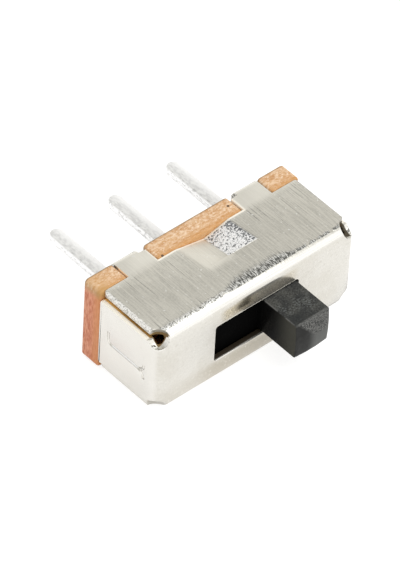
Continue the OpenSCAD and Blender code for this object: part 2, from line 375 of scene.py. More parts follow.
def brown_inside_and_painted_light(tree, at):
    """The brown of the inside: lighter in the left gap, dark in the slot, and painted much lighter deep
    inside, as painted light.
    """
    relief = mix(tree, at.to_right, RELIEF_LEFT, RELIEF_RIGHT)
    gap = mix(tree, ramp(tree, at.y, -2.4, wall_end_y), GAP_FRONT, GAP_BACK)
    gap = mix(tree, at.to_right, gap, GAP_RIGHT)
    deep = smallest(tree, at.from_front, at.from_end, at.from_side)
    deep = times(tree, ramp(tree, deep, 0.236, 0.246), opposite(tree, at.near_front))
    brown = mix(tree, at.near_front, gap, relief)
    # Painted light: deep inside, the brown turns much lighter.
    brown = mix(tree, deep, brown, DEEP_INSIDE_PAINTED_LIGHT)
    return mix(tree, at.in_slot, brown, SLOT_INSIDE)


print("the stain starts", WALL_SKIN, "mm below the skin of the walls")

# %% [markdown]
# A stamped sheet shows its cut edges. Some carry a painted highlight, a bright
# matt line, those of the reliefs are dull, and the left end of the long wall is
# gritty. A short crease is pressed into the left flap, and its stroke is painted
# white as a painted highlight. The cut ends of the tabs' lips are painted dark as
# painted shade, and the side of the left tab in its gap is painted light as
# painted light. Strips of mesh could stand for them, but they are about as thin
# as the bevel, so they are masks as well.

# %% Edges, crease and tabs
WALL_INSET = 0.16
SLOT_EDGE_LOW, SLOT_EDGE_HIGH = 0.79, 0.83
CREASE_Z = -0.18
CREASE_FRONT, CREASE_BACK = wall_end_y - 1.90, wall_end_y - 0.64


def dull_mask(tree, at):
    """The edges of the reliefs, weaker at the lower ones."""
    upright = ramp(tree, size(tree, at.up), 0.55, 0.40)
    dull = times(tree, at.near_front, upright, ramp(tree, at.from_side, 0.18, 0.15))
    return times(tree, dull, ramp(tree, at.z, -1.0, 1.0, 0.4, 1.0))


def grit_mask(tree, at):
    """The gritty ends of the upper wall, mostly the left one."""
    grit = ramp(tree, at.from_end, WALL_INSET + 0.12, WALL_INSET + 0.04)
    grit = times(tree, grit, ramp(tree, at.z, 0.0, 0.5), ramp(tree, at.x, 3.0, -3.0, 0.2, 1.0))
    grit = times(tree, grit, ramp(tree, at.from_side, 0.235, 0.22))
    return times(tree, grit, ramp(tree, at.from_front, 0.40, 0.50))


def edge_highlights(tree, at):
    """The painted highlights: on the edge of the flaps, of the wall between its tabs, and above the slot.
    """
    flap_edge = band(tree, at.from_side, 0.30, 0.36, 0.01)
    flap_edge = times(tree, flap_edge, ramp(tree, at.from_end, 0.15, 0.12))
    flap_edge = times(tree, flap_edge, ramp(tree, at.from_front, 0.50, 0.60))
    free_edge = ramp(tree, at.y, wall_end_y - 0.10, wall_end_y - 0.07)
    free_edge = times(tree, free_edge, ramp(tree, size(tree, at.x), 1.95, 1.85))
    slot_edge = band(tree, at.z, SLOT_EDGE_LOW, SLOT_EDGE_HIGH, 0.01)
    slot_edge = times(tree, slot_edge, ramp(tree, size(tree, at.x), 1.80, 1.74))
    slot_edge = times(tree, slot_edge, ramp(tree, at.y, front_y + 0.04, front_y + 0.02))
    return largest(tree, flap_edge, free_edge, slot_edge)


def crease_highlight_mask(tree, at):
    """The straight stroke of the crease on the left flap, painted white as a painted highlight."""
    stroke = band(tree, at.z, CREASE_Z - 0.05, CREASE_Z + 0.035, 0.012)
    on_left_flap = ramp(tree, at.x, 0.5 - half_length, 0.3 - half_length)
    return times(tree, stroke, on_left_flap, band(tree, at.y, CREASE_FRONT, CREASE_BACK, 0.08))


def tab_masks(tree, at):
    """The cut ends of the lips, painted dark as painted shade, and the side of the left tab in its gap,
    painted light as painted light.
    """
    lip_end_shade = ramp(tree, size(tree, at.to_side), 0.5, 0.8)
    lip_end_shade = times(tree, lip_end_shade, ramp(tree, at.y, -0.24, -0.16))
    gap_side_light = ramp(tree, at.to_side, -0.5, -0.8)
    gap_side_light = times(tree, gap_side_light, band(tree, at.y, wall_end_y, -0.30, 0.03))
    return lip_end_shade, times(tree, gap_side_light, ramp(tree, at.x, -2.7, -2.9))


print("crease from", round(CREASE_FRONT, 2), "to", round(CREASE_BACK, 2), "mm")

# %% [markdown]
# Behind the front fold the tool left a ragged comb of scratches, longest in the
# middle. The punch left the steep side of the V dent rough, so that it glitters,
# and the gentle side smooth. A white line along the front of the rough side is a
# painted highlight, and a dark line past its far side is a painted shadow. The
# lines of the dent lean a little from square. Real grooves would need thousands
# of faces; a mask and a bump look the same.

# %% The comb of scratches and the V dent
FOLD_END_Y = front_y + 0.28
COMB_LONG_X, COMB_WHOLE_X = (-0.9, 1.6), (-1.2, 1.9)
DENT_LEAN, DENT_TURNS_AT = 0.114, -1.45
DENT_FRONT_Y, SMOOTH_FRONT_Y = -2.10, -2.25
ROUGH_SIDE, LINE_BEYOND = (0.17, 1.22), (1.23, 1.27)
LIGHT_SIDE, MATT_SIDE = (-0.95, -0.20), (-0.95, 0.13)


def comb_mask(tree, at):
    """1 in the strip of scratches behind the front fold."""
    to_left = ramp(tree, at.x, -0.8, -1.4)
    ragged = noise(tree, stretch(tree, at.place, (16, 0.6, 1.0)))
    reach = times(tree, band(tree, at.x, *COMB_LONG_X, 0.6), 0.28)
    reach = plus(tree, reach, ramp(tree, to_left, 0.0, 1.0, 0.11, 0.16, smooth=False))
    reach = times(tree, reach, ramp(tree, ragged, 0.25, 0.75, 0.85, 1.15))
    edge = minus(tree, at.y, FOLD_END_Y)
    depth = calc(tree, "DIVIDE", edge, reach)
    clusters = noise(tree, stretch(tree, at.place, (4.5, 4.5, 1)), detail=1.0)
    clusters = plus(tree, clusters, times(tree, to_left, 0.10))
    broken = largest(tree, ramp(tree, clusters, 0.36, 0.56), band(tree, at.x, *COMB_WHOLE_X, 0.4))
    strip = times(tree, ramp(tree, depth, 1.35, 0.5), ramp(tree, edge, -0.04, 0.01))
    return times(tree, strip, broken, at.on_wall)


def dent_masks(tree, at):
    """The rough side, its white front edge (a painted highlight) and its shade,
    the dark line past it (a painted shadow), and the light and the matt part
    of the smooth side."""
    along = plus(tree, at.x, times(tree, minus(tree, at.y, DENT_TURNS_AT), DENT_LEAN))
    across = times(tree, band(tree, at.y, DENT_FRONT_Y, wall_end_y - 0.03, 0.015), at.on_wall)
    rough = times(tree, band(tree, along, *ROUGH_SIDE, 0.03), across)
    # The white front edge of the rough side: a painted highlight.
    rim_highlight = times(tree, rough, ramp(tree, at.y, -2.03, -2.07, 0.0, 0.8))
    shade = ramp(tree, along, 0.75, 1.15, 0.005, -0.07)
    shade = plus(tree, shade, ramp(tree, at.y, -1.50, -0.95, 0.01, -0.02))
    # The dark line past the far side of the rough side: a painted shadow.
    beyond_shadow = times(tree, band(tree, along, *LINE_BEYOND, 0.02), across)
    in_depth = times(tree, band(tree, at.y, SMOOTH_FRONT_Y, wall_end_y, 0.2), at.on_wall)
    light = times(tree, band(tree, along, *LIGHT_SIDE, 0.22), in_depth)
    matt = times(tree, band(tree, along, *MATT_SIDE, 0.06), in_depth)
    return rough, rim_highlight, shade, beyond_shadow, light, matt


print("comb behind", round(FOLD_END_Y, 2), "mm, dent behind", DENT_FRONT_Y, "mm")

# %% [markdown]
# Now the tones. The long wall mixes the mill's lines, slow drifts, a few deep
# scores and a fine grain. One noise could not give all of these, because each has
# its own length and width, so each is a noise stretched by its own amount.

# %% Tone of the long wall
MILL_DARK, MILL_LIGHT = (0.61, 0.595, 0.535, 1), (0.80, 0.775, 0.70, 1)
DRIFT, SCORE, GRAIN = (0.64, 0.62, 0.56, 1), (0.34, 0.33, 0.30, 1), (0.88, 0.86, 0.79, 1)
DENT_MATT, DENT_LIGHT = (0.645, 0.615, 0.54, 1), (0.82, 0.79, 0.70, 1)
TAB = (0.935, 0.91, 0.835, 1)


def wall_tone(tree, at, matt_side, light_side):
    drifts = noise(tree, stretch(tree, at.place, (9, 0.25, 0.5)), detail=1.0)
    scores = noise(tree, stretch(tree, at.place, (19, 0.45, 0.5)), detail=0.0)
    tone = mix(tree, ramp(tree, at.lines, 0.30, 0.70), MILL_DARK, MILL_LIGHT)
    for mask, colour in (
        (ramp(tree, drifts, 0.35, 0.65, 0.0, 0.3), DRIFT),
        (ramp(tree, scores, 0.70, 0.80, 0.0, 0.8), SCORE),
        (ramp(tree, at.fine_grains, 0.35, 0.75, 0.0, 0.35), GRAIN),
        (times(tree, matt_side, 0.6), DENT_MATT),
        (times(tree, light_side, 0.5), DENT_LIGHT),
        (ramp(tree, at.y, wall_end_y - 0.25, wall_end_y + 0.1, 0.0, 0.8), TAB),
    ):
        tone = mix(tree, mask, tone, colour)
    return tone


print("wall tone from", MILL_DARK[:3], "to", MILL_LIGHT[:3])

# %% [markdown]
# The front and the flaps are smooth and cloudy. Below the slot the front is
# painted browner, as a painted reflection. Above the lever lies a grainy brown
# patch, partly grease and partly a painted reflection of the lever, with a darker
# part on its left. The front fold is painted lighter, as a painted highlight,
# with faint streaks along it. A clear coat could be a second layer, but mixing in
# a browner tone is simpler and looks the same.

# %% Tone of the front and the flaps
BELOW_SLOT_REFLECTION_X = (-4.2, 1.9)
SMUDGE_AND_REFLECTION_X, SMUDGE_AND_REFLECTION_Z = (-1.5, 1.62), (0.85, 1.33)
DARK_PATCH_X, DARK_PATCH_Z = (-0.95, -0.35), (1.02, 1.38)
CLOUD_DARK, CLOUD_LIGHT = (0.72, 0.695, 0.635, 1), (0.775, 0.755, 0.705, 1)
SPECK_DARK, SPECK_LIGHT = (0.60, 0.57, 0.50, 1), (0.84, 0.82, 0.77, 1)
# Grainy brown above the lever: partly grease, partly a painted reflection of the lever.
SMUDGE_AND_REFLECTION_DARK, SMUDGE_AND_REFLECTION_LIGHT = (0.38, 0.32, 0.21, 1), (0.70, 0.62, 0.46, 1)
# The second colour is a painted reflection below the slot; the third darkens the left part of the patch
# above the lever.
FINE_SPECK, BELOW_SLOT_REFLECTION, DARK_PATCH = (0.66, 0.635, 0.58, 1), (0.53, 0.485, 0.40, 1), (0.36, 0.32, 0.24, 1)
# The second colour is a painted highlight along the front fold.
FLAP, BEND_HIGHLIGHT, STREAK = (0.86, 0.84, 0.80, 1), (0.90, 0.895, 0.875, 1), (0.70, 0.685, 0.64, 1)


def front_marks(tree, at):
    """The browner part below the slot, a painted reflection, and the grainy brown patch above it, partly a
    painted reflection of the lever, with its darker part.
    """
    # Painted reflection: the front turns browner below the slot.
    below_slot_reflection = times(tree, band(tree, at.x, *BELOW_SLOT_REFLECTION_X, 0.6), ramp(tree, at.z, -0.55, -1.0))
    below_slot_reflection = times(tree, below_slot_reflection, ramp(tree, at.x, -2.9, -1.6, 0.3, 1.0))
    # Partly grease, partly a painted reflection of the lever, above the slot.
    smudge_and_reflection = times(tree, band(tree, at.x, *SMUDGE_AND_REFLECTION_X, 0.25), band(tree, at.z, *SMUDGE_AND_REFLECTION_Z, 0.10))
    smudge_and_reflection = times(tree, smudge_and_reflection, ramp(tree, at.x, -0.5, 0.3, 0.9, 0.5))
    dark_patch = times(tree, band(tree, at.x, *DARK_PATCH_X, 0.2), band(tree, at.z, *DARK_PATCH_Z, 0.08))
    return below_slot_reflection, smudge_and_reflection, dark_patch


def front_tone(tree, at, below_slot_reflection, smudge_and_reflection, dark_patch):
    cloud = noise(tree, at.place, 0.9)
    specks = noise(tree, at.place, 9.0, roughness=0.6)
    streaks = noise(tree, stretch(tree, at.place, (0.4, 26, 26)), detail=1.0)
    darkening = mix(tree, ramp(tree, at.fine_grains, 0.35, 0.65), SMUDGE_AND_REFLECTION_DARK, SMUDGE_AND_REFLECTION_LIGHT)
    on_flap = ramp(tree, size(tree, at.to_side), 0.6, 0.9)
    dark_specks = ramp(tree, specks, 0.42, 0.28, 0.0, 0.4)
    on_bend = ramp(tree, at.up, 0.38, 0.62)
    on_bend = times(tree, on_bend, ramp(tree, at.y, front_y + 0.40, front_y + 0.30))
    tone = mix(tree, ramp(tree, cloud, 0.35, 0.65), CLOUD_DARK, CLOUD_LIGHT)
    for mask, colour in (
        (ramp(tree, at.fine_grains, 0.3, 0.7, 0.0, 0.4), FINE_SPECK),
        (times(tree, below_slot_reflection, 0.85), BELOW_SLOT_REFLECTION),
        (smudge_and_reflection, darkening),
        (times(tree, dark_patch, 0.7), DARK_PATCH),
        (times(tree, on_flap, 0.6), FLAP),
        (ramp(tree, specks, 0.55, 0.75, 0.0, 0.5), SPECK_LIGHT),
        (times(tree, dark_specks, ramp(tree, on_flap, 0.0, 1.0, 1.0, 0.3)), SPECK_DARK),
        # Painted highlight along the front fold.
        (times(tree, on_bend, 0.6), BEND_HIGHLIGHT),
        (times(tree, on_bend, ramp(tree, streaks, 0.50, 0.66, 0.0, 0.5)), STREAK),
    ):
        tone = mix(tree, mask, tone, colour)
    return tone


print("front tone from", CLOUD_DARK[:3], "to", CLOUD_LIGHT[:3])

# %% [markdown]
# Some marks are not one colour: grit, scratches, the glitter of the dent and the
# painted shade on the cut ends of the lips are light and dark grains side by
# side. Each could have a noise of its own, but they use those that the sheet
# already has, cut to two tones.

# %% Tones of the marks
GRIT_DARK, GRIT_LIGHT = (0.40, 0.39, 0.36, 1), (0.97, 0.96, 0.93, 1)
STROKE_DARK, STROKE_LIGHT = (0.13, 0.13, 0.12, 1), (0.90, 0.90, 0.87, 1)
DOT_DARK, DOT_LIGHT = (0.20, 0.20, 0.18, 1), (1, 1, 0.97, 1)
DENT_DARK = (0.13, 0.135, 0.14, 1)
# The cut ends of the lips: painted shade, dark with lighter grains.
LIP_DARK, LIP_LIGHT = (0.16, 0.155, 0.14, 1), (0.62, 0.60, 0.55, 1)


def grit_tone(tree, at, grit):
    gritty = plus(tree, at.fine_grains, ramp(tree, grit, 0.2, 1.0, -0.10, 0.05))
    return mix(tree, ramp(tree, gritty, 0.38, 0.58), GRIT_DARK, GRIT_LIGHT)


def comb_tone(tree, at):
    """Strokes on the right and in the middle, dots on the left."""
    at_foot = ramp(tree, at.y, FOLD_END_Y + 0.08, FOLD_END_Y, 0.0, -0.06)
    strokes = ramp(tree, plus(tree, at.strokes, at_foot), 0.38, 0.64)
    strokes = mix(tree, strokes, STROKE_DARK, STROKE_LIGHT)
    dots = mix(tree, ramp(tree, at.grains, 0.40, 0.55), DOT_DARK, DOT_LIGHT)
    return mix(tree, ramp(tree, at.x, -1.4, -0.8), dots, strokes)


def glitter_tone(tree, at, shade):
    return mix(tree, ramp(tree, plus(tree, at.grains, shade), 0.39, 0.52), DENT_DARK, WHITE)


def lip_shade_tone(tree, at):
    return mix(tree, ramp(tree, at.fine_grains, 0.4, 0.6), LIP_DARK, LIP_LIGHT)


print("glitter from", DENT_DARK[:3], "to white")

# %% [markdown]
# The marks are laid over the tones in order, the brown inside last. Where a mark
# is dull on the real sheet it is also less metallic, and so is a painted
# highlight or painted light, because a pure metal only mirrors the studio and
# would lose the mark's own colour.

# %% Nickel-plated sheet
# The second and third colours are the dent's painted highlight and painted shadow.
GLINT, RIM_HIGHLIGHT, BEYOND_SHADOW = (0.93, 0.92, 0.88, 1), (1, 1, 0.98, 1), (0.34, 0.33, 0.31, 1)
# Painted light, orange, on the side of the left tab in its gap, and the painted highlight of the edges.
GAP_SIDE_PAINTED_LIGHT, EDGE_HIGHLIGHT = (1, 0.76, 0.50, 1), (1, 0.95, 0.84, 1)
DULL_EDGE = (0.36, 0.34, 0.30, 1)
FRONT_MATT = 0.08
FRONT_ROUGHNESS, WALL_ROUGHER, SMUDGE_ROUGHER, BROWN_INSIDE_ROUGHER = 0.21, 0.14, 0.10, 0.3
SHEET_RELIEF = 0.04


def nickel_finish():
    material, tree, shader, place = new_finish("nickel plated sheet")
    at = sheet_places(tree, place)
    brown_inside, grit, comb = brown_inside_mask(tree, at), grit_mask(tree, at), comb_mask(tree, at)
    dent, rim_highlight, shade, beyond_shadow, light_side, matt_side = dent_masks(tree, at)
    lip_end_shade, gap_side_light = tab_masks(tree, at)
    edge_highlight = edge_highlights(tree, at)
    below_slot_reflection, smudge_and_reflection, dark_patch = front_marks(tree, at)
    glints = noise(tree, stretch(tree, place, (12, 8, 12)), detail=1.0)

    tone = front_tone(tree, at, below_slot_reflection, smudge_and_reflection, dark_patch)
    tone = mix(tree, at.on_wall, tone, wall_tone(tree, at, matt_side, light_side))
    for mask, colour in (
        (times(tree, ramp(tree, glints, 0.70, 0.76), at.on_wall), GLINT),
        (times(tree, grit, 0.8), grit_tone(tree, at, grit)),
        (comb, comb_tone(tree, at)),
        (dent, glitter_tone(tree, at, shade)),
        (rim_highlight, RIM_HIGHLIGHT),
        (times(tree, beyond_shadow, 0.6), BEYOND_SHADOW),
        # Painted highlight on the crease, painted light on the left tab's side, painted shade on the lips'
        # ends, painted highlights on the edges:
        (crease_highlight_mask(tree, at), WHITE),
        (gap_side_light, GAP_SIDE_PAINTED_LIGHT),
        (lip_end_shade, lip_shade_tone(tree, at)),
        (edge_highlight, EDGE_HIGHLIGHT),
        (dull_mask(tree, at), DULL_EDGE),
        (brown_inside, brown_inside_and_painted_light(tree, at)),
    ):
        tone = mix(tree, mask, tone, colour)
    link(tree, tone, shader.inputs["Base Color"])

    greasy = times(tree, smudge_and_reflection, ramp(tree, dark_patch, 0.0, 1.0, 1.0, 0.2))
    matt = times(tree, opposite(tree, at.on_wall), FRONT_MATT)
    for mask, share in (
        (dent, 0.65), (gap_side_light, 0.9), (matt_side, 0.75), (greasy, 0.38),
        (grit, 0.6), (edge_highlight, 0.9), (brown_inside, 0.9),
    ):
        matt = largest(tree, matt, times(tree, mask, share))
    link(tree, opposite(tree, matt), shader.inputs["Metallic"])

    rough = FRONT_ROUGHNESS
    for mask, more in (
        (at.on_wall, WALL_ROUGHER), (greasy, SMUDGE_ROUGHER), (brown_inside, BROWN_INSIDE_ROUGHER),
    ):
        rough = plus(tree, times(tree, mask, more), rough)
    link(tree, rough, shader.inputs["Roughness"])
    fine = times(tree, at.lines, times(tree, at.on_wall, 0.12))
    coarse = plus(tree, times(tree, at.strokes, comb), times(tree, at.grains, dent))
    link(tree, bump(tree, plus(tree, fine, coarse), 1.0, SHEET_RELIEF), shader.inputs["Normal"])
    return material


nickel = nickel_finish()
print(nickel.name, len(nickel.node_tree.nodes), "nodes")

# %% [markdown]
# ## The base board
#
# The board is a hard paper laminate. Its cut edges show the paper: pale fibres in
# an orange resin, in thin layers across the thickness. Near the front and the back
# the resin covers the fibres, and the short ends are redder. A picture of paper
# could be wrapped round it, but a solid noise runs on through the corners, as real
# layers do. Two small dark pits and a darker corner are placed as in the photograph.

# %% Paper laminate
PITS = ((1.557, -0.375), (-1.619, -0.765))
PIT_AREA, PIT_CORE = 0.0036, 0.0012
RESIN_DARK, RESIN_LIGHT, RESIN_SKIN = (0.56, 0.27, 0.095, 1), (0.70, 0.43, 0.22, 1), (0.57, 0.27, 0.07, 1)
FIBRE, FIBRE_SPECK = (0.86, 0.64, 0.44, 1), (0.92, 0.76, 0.60, 1)
LEFT_CORNER, DARKER_NEAR_WALL, BACK_EDGE = (0.64, 0.37, 0.15, 1), (0.52, 0.29, 0.09, 1), (0.27, 0.19, 0.12, 1)
RED_DARK, RED_LIGHT, RED_FRONT = (0.62, 0.19, 0.10, 1), (0.90, 0.42, 0.26, 1), (0.78, 0.33, 0.13, 1)
PIT = (0.10, 0.045, 0.015, 1)


def paper_tone(tree, place, x, y, fibres):
    layers = noise(tree, stretch(tree, place, (1.8, 12.0, 1.8)), 1.0, 3.0, 0.6)
    specks = noise(tree, place, 14.0, 2.0, 0.6)
    skin = largest(tree, ramp(tree, y, wall_end_y + 0.35, wall_end_y), ramp(tree, y, -0.15, 0.0))
    middle = opposite(tree, times(tree, skin, 0.75))
    darkening = ramp(tree, y, wall_end_y + 0.30, wall_end_y + 0.05, 0.0, 0.6)
    back_edge = ramp(tree, y, -0.10, -0.045)
    tone = mix(tree, ramp(tree, layers, 0.3, 0.7), RESIN_DARK, RESIN_LIGHT)
    for mask, colour in (
        (times(tree, skin, 0.7), RESIN_SKIN),
        (times(tree, ramp(tree, fibres, 0.36, 0.70), middle), FIBRE),
        (times(tree, ramp(tree, specks, 0.58, 0.72), middle), FIBRE_SPECK),
        (ramp(tree, x, -3.4, -4.0, 0.0, 0.4), LEFT_CORNER),
        # Darker near the wall at the left end.
        (times(tree, ramp(tree, x, -3.75, -4.1), darkening), DARKER_NEAR_WALL),
        (times(tree, back_edge, ramp(tree, fibres, 0.3, 0.6, 0.95, 0.55)), BACK_EDGE),
    ):
        tone = mix(tree, mask, tone, colour)
    return tone


def red_end_tone(tree, place, y):
    layers = noise(tree, stretch(tree, place, (1.0, 16.0, 4.0)), 1.0, 3.0, 0.65)
    tone = mix(tree, ramp(tree, layers, 0.35, 0.65), RED_DARK, RED_LIGHT)
    return mix(tree, times(tree, ramp(tree, y, -0.35, -0.7), 0.7), tone, RED_FRONT)


def laminate_finish():
    material, tree, shader, place = new_finish("paper laminate")
    x, y, z = split(tree, place)
    turned = stretch(tree, place, (4.5, 7.5, 4.5), (0.2, 0.3, 0.5))
    fibres = noise(tree, turned, 1.6, 3.0, 0.65)
    at_end = ramp(tree, size(tree, x), half_length - 0.22, half_length - 0.02)
    at_end = times(tree, at_end, ramp(tree, z, 1.62, 1.22))
    tone = paper_tone(tree, place, x, y, fibres)
    tone = mix(tree, at_end, tone, red_end_tone(tree, place, y))
    for point in PITS:
        pit = ramp(tree, off_squared(tree, x, y, point), PIT_AREA, PIT_CORE)
        tone = mix(tree, times(tree, pit, ramp(tree, z, 1.4, 1.5)), tone, PIT)
    link(tree, tone, shader.inputs["Base Color"])
    link(tree, ramp(tree, fibres, 0.3, 0.7, 0.5, 0.75), shader.inputs["Roughness"])
    link(tree, bump(tree, fibres, 0.4, 0.03), shader.inputs["Normal"])
    return material


laminate = laminate_finish()
print(laminate.name, len(laminate.node_tree.nodes), "nodes")

# %% [markdown]
# ## The pins
#
# The terminals are dipped in tin. The dip leaves a soft, slightly cloudy skin, so
# the roughness and a shallow bump follow the same slow pattern. Each pin is whiter
# and less metallic on one half and specked along the other edge. Each pin could
# have a finish of its own, but the three share one: their place is folded back to
# one pitch.

# %% Tinned strip
PIN_PITCH = 2.54
TIN_DARK, TIN_LIGHT = (0.76, 0.76, 0.755, 1), (0.92, 0.92, 0.91, 1)
TIN_SPECK = (0.45, 0.45, 0.44, 1)


def tin_finish():
    material, tree, shader, place = new_finish("tinned strip")
    x, _, _ = split(tree, place)
    to_side, _, _ = facing(tree)
    across = calc(tree, "FLOORED_MODULO", plus(tree, x, PIN_PITCH / 2), PIN_PITCH)
    across = minus(tree, across, PIN_PITCH / 2)
    cloud = noise(tree, stretch(tree, place, (11, 6, 11)), 1.0, 3.0, 0.6)
    specks = noise(tree, stretch(tree, place, (14, 7, 14)), detail=1.0)
    bright_half = ramp(tree, across, -0.08, 0.20)
    to_left = ramp(tree, to_side, -0.45, -0.80)
    at_edge = times(tree, ramp(tree, across, -0.17, -0.21), ramp(tree, specks, 0.56, 0.68))
    tone = mix(tree, ramp(tree, cloud, 0.35, 0.65), TIN_DARK, TIN_LIGHT)
    tone = mix(tree, bright_half, tone, WHITE)
    tone = mix(tree, to_left, tone, WHITE)
    tone = mix(tree, times(tree, at_edge, 0.5), tone, TIN_SPECK)
    link(tree, tone, shader.inputs["Base Color"])
    metal = largest(tree, ramp(tree, bright_half, 0.0, 1.0, 0.45, 0.15), to_left)
    link(tree, metal, shader.inputs["Metallic"])
    link(tree, ramp(tree, cloud, 0.3, 0.7, 0.36, 0.52), shader.inputs["Roughness"])
    link(tree, bump(tree, cloud, 0.5, 0.03), shader.inputs["Normal"])
    return material


tin = tin_finish()
print(tin.name, len(tin.node_tree.nodes), "nodes")

# %% [markdown]
# ## The lever
#
# The slider is moulded in black. Its faces are satin with a faint grain, its top
# has two greyer patches, and its left side is painted darker toward the slot, as
# painted shade. The upper part of the lever's end is rubbed and rougher, which
# makes it look greyer; its right half is painted lighter, as painted light, and its
# top edges carry a painted highlight. The grain could be pushed out of a fine
# mesh, but at this size a bump is enough.

# %% Tones of the lever
TOP_PATCHES = ((1.27, -4.50, 0.42), (0.47, -4.36, 0.30))
BLACK_DARK, BLACK_LIGHT = (0.030, 0.030, 0.029, 1), (0.043, 0.043, 0.042, 1)
TOP_DARK, TOP_LIGHT = (0.044, 0.045, 0.044, 1), (0.078, 0.078, 0.072, 1)
TOP_PORE, TOP_GRAIN, TOP_CORNER = (0.016, 0.016, 0.015, 1), (0.13, 0.135, 0.13, 1), (0.028, 0.030, 0.030, 1)
# The second colour is painted light on the right half of the lever's end, the third a painted highlight on
# its edges.
TOP_PATCH, END_PAINTED_LIGHT, LEVER_HIGHLIGHT = (0.125, 0.133, 0.13, 1), (0.135, 0.138, 0.132, 1), (0.12, 0.12, 0.115, 1)
RUB_DARK, RUB_LIGHT = (0.030, 0.030, 0.030, 1), (0.21, 0.21, 0.20, 1)
# Painted shade on the left side: dark near the slot, lighter toward the end.
SHADOW, LEFT_LIGHT = (0.001, 0.001, 0.001, 1), (0.066, 0.064, 0.052, 1)
LEVER_TOP_LOW, LEVER_TOP_HIGH = 0.66, 0.69


def lever_top_tone(tree, x, y, grain, broad):
    corner = times(tree, ramp(tree, y, front_y - 0.8, front_y - 1.3),
                   ramp(tree, x, lever_left + 1.1, lever_left + 0.5))
    tone = mix(tree, ramp(tree, broad, 0.35, 0.65), TOP_DARK, TOP_LIGHT)
    tone = mix(tree, ramp(tree, grain, 0.52, 0.32, 0.0, 0.75), tone, TOP_PORE)
    tone = mix(tree, ramp(tree, grain, 0.56, 0.72, 0.0, 0.6), tone, TOP_GRAIN)
    return mix(tree, times(tree, corner, 0.6), tone, TOP_CORNER)


def end_masks(tree, x, y, z):
    """The lever's end, its rubbed upper part and its right half, painted lighter as painted light."""
    at_end = ramp(tree, y, lever_end_y + 0.16, lever_end_y + 0.08)
    slope = minus(tree, times(tree, minus(tree, x, lever_left + 0.12), 1.1), 0.72)
    rub = times(tree, ramp(tree, z, -0.14, -0.02), ramp(tree, plus(tree, slope, z), -0.08, 0.08))
    lit_right_half = ramp(tree, x, lever_left + 0.5, lever_left + 0.95)
    return at_end, times(tree, at_end, rub), times(tree, at_end, lit_right_half)


def lever_highlight_mask(tree, x, z, at_end, broad):
    """The painted highlight along the left edge of the lever's top, and along the edge of its end."""
    left_edge = ramp(tree, x, lever_left + 0.06, lever_left + 0.03)
    top_edge = ramp(tree, z, LEVER_TOP_LOW, LEVER_TOP_HIGH)
    left_highlight = times(tree, left_edge, top_edge, ramp(tree, broad, 0.40, 0.60))
    return largest(tree, left_highlight, times(tree, at_end, top_edge, 0.5))


print("lever from", round(lever_left, 2), "to", round(lever_left + LEVER_WIDTH, 2), "mm")

# %% [markdown]
# The tones are laid over the plain black in order: the top, the painted light on
# the end's right half, the patches, the rub, the painted edge highlights, then
# the left side with its painted shade. Inside the slot it is nearly black and
# dull, as hardly any light gets in there. A black that is too shiny mirrors the
# studio, so the specular level is kept low.

# %% Black moulding
LOW_SPECULAR = 0.04
INSIDE_ROUGHNESS, OUTSIDE_ROUGHNESS, LEFT_SMOOTHER = 0.85, 0.36, 0.16


def moulding_finish():
    material, tree, shader, place = new_finish("black moulding")
    x, y, z = split(tree, place)
    to_side, _, up = facing(tree)
    grain = noise(tree, place, 18.0, 2.0, 0.55)
    fine_grain = noise(tree, place, 24.0, 2.0, 0.6)
    broad = noise(tree, place, 2.4)
    on_top, on_left = ramp(tree, up, 0.5, 0.9), ramp(tree, to_side, -0.6, -0.9)
    at_end, rub, lit_right_half = end_masks(tree, x, y, z)

    tone = mix(tree, ramp(tree, broad, 0.35, 0.65), BLACK_DARK, BLACK_LIGHT)
    tone = mix(tree, on_top, tone, lever_top_tone(tree, x, y, grain, broad))
    # Painted light: the right half of the lever's end is lighter.
    tone = mix(tree, lit_right_half, tone, END_PAINTED_LIGHT)
    for *point, reach in TOP_PATCHES:
        off = calc(tree, "SQRT", off_squared(tree, x, y, point))
        off = plus(tree, off, ramp(tree, broad, 0.3, 0.7, 0.15, -0.15))
        patch = times(tree, ramp(tree, off, reach, reach * 0.3), ramp(tree, grain, 0.50, 0.64))
        tone = mix(tree, times(tree, patch, on_top), tone, TOP_PATCH)
    rubbed = mix(tree, ramp(tree, fine_grain, 0.36, 0.64), RUB_DARK, RUB_LIGHT)
    tone = mix(tree, rub, tone, rubbed)
    # Painted highlight along the top edges of the lever.
    tone = mix(tree, lever_highlight_mask(tree, x, z, at_end, broad), tone, LEVER_HIGHLIGHT)
    # Painted shade: the left side darkens toward the slot.
    left_painted_shade = mix(tree, ramp(tree, y, front_y - 0.45, front_y - 1.5), SHADOW, LEFT_LIGHT)
    tone = mix(tree, times(tree, on_left, 0.9), tone, left_painted_shade)
    outside = ramp(tree, y, front_y + 0.10, front_y - 0.02)
    link(tree, mix(tree, outside, SHADOW, tone), shader.inputs["Base Color"])

    shader.inputs["Specular IOR Level"].default_value = LOW_SPECULAR
    satin = ramp(tree, outside, 0.0, 1.0, INSIDE_ROUGHNESS, OUTSIDE_ROUGHNESS)
    satin = minus(tree, satin, times(tree, on_left, LEFT_SMOOTHER))
    link(tree, satin, shader.inputs["Roughness"])
    height = times(tree, grain, plus(tree, times(tree, rub, 3.0), 0.6))
    link(tree, bump(tree, height, 0.4, 0.012), shader.inputs["Normal"])
    return material


black = moulding_finish()
print(black.name, len(black.node_tree.nodes), "nodes")

# %% [markdown]
# ## The moving contact
#
# The clip inside is bare sprung bronze. Little of it is ever seen, and it could
# share the tin of the pins, but a bare spring is browner. So it has its own finish:
# rolled lines along the strip and a slightly browner tarnish.

# %% Sprung bronze
BRONZE, TARNISHED = (0.78, 0.55, 0.28, 1), (0.52, 0.32, 0.15, 1)


